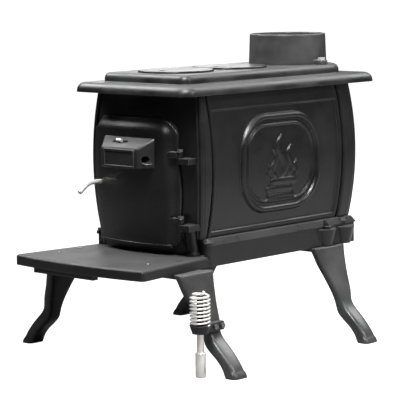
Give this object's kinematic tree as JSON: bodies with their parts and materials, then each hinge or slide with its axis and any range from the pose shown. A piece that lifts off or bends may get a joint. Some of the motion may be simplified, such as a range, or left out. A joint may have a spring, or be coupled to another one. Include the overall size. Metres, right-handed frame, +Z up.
{
  "type": "cast iron wood stove",
  "caption": "Barrel-sided cast iron wood stove on splayed legs, with a hinged loading door, hearth shelf, cooktop lids, top flue collar and a lift-off spring handle.",
  "frame": {"origin": "middle of the stove's footprint box on the floor", "axes": "+Z up, -Y towards the door and hearth, +X towards the hinge side"},
  "size_m": [0.602, 0.755, 0.6255],
  "materials": {
    "cast_iron": "satin black stove paint on cast iron",
    "dark_steel": "dark zinc fasteners",
    "bright_nickel": "polished nickel plate",
    "gasket_rope": "matt woven glass rope"
  },
  "bodies": {
    "stove": {"base_plate": "cast_iron", "hearth_plate": "cast_iron", "left_side_panel": "cast_iron", "right_side_panel": "cast_iron", "front_panel": "cast_iron", "back_panel": "cast_iron", "top_plate": "cast_iron", "flue_collar": "cast_iron", "log_grate": "cast_iron", "front_left_leg": "cast_iron", "front_right_leg": "cast_iron", "rear_left_leg": "cast_iron", "rear_right_leg": "cast_iron", "handle_holder": "cast_iron", "upper_hinge_pin": "dark_steel", "lower_hinge_pin": "dark_steel", "flue_collar_bolts": "dark_steel", "leg_bolts": "dark_steel", "corner_bolts": "dark_steel", "hearth_bolts": "dark_steel", "tie_rods": "dark_steel", "tie_rod_nuts": "dark_steel", "holder_bolts": "dark_steel"},
    "door": {"door": "cast_iron", "door_gasket": "gasket_rope", "draft_box": "cast_iron"},
    "latch": {"latch_lever": "bright_nickel", "latch_tongue": "dark_steel", "latch_nut": "dark_steel"},
    "draft_slide": {"draft_slide": "dark_steel"},
    "front_lid": {"front_lid": "cast_iron"},
    "rear_lid": {"rear_lid": "cast_iron"},
    "handle": {"handle_shank": "bright_nickel", "handle_coil": "bright_nickel"}
  },
  "joints": [
    {"name": "door_swing", "type": "hinge", "parent": "stove", "child": "door", "pos_m": [0.112, -0.19, 0.35], "axis": [0, 0, 1], "range_deg": [0, 110]},
    {"name": "latch_turn", "type": "hinge", "parent": "door", "child": "latch", "pos_m": [-0.096, -0.2, 0.346], "axis": [0, 1, 0], "range_deg": [0, 90]},
    {"name": "draft_shift", "type": "slide", "parent": "door", "child": "draft_slide", "axis": [1, 0, 0], "range_m": [-0.014, 0.014]},
    {"name": "front_lid_lift", "type": "slide", "parent": "stove", "child": "front_lid", "axis": [0, 0, 1], "range_m": [0, 0.1]},
    {"name": "rear_lid_lift", "type": "slide", "parent": "stove", "child": "rear_lid", "axis": [0, 0, 1], "range_m": [0, 0.1]},
    {"name": "handle_lift", "type": "slide", "parent": "stove", "child": "handle", "axis": [0, 0, 1], "range_m": [0, 0.1]}
  ]
}
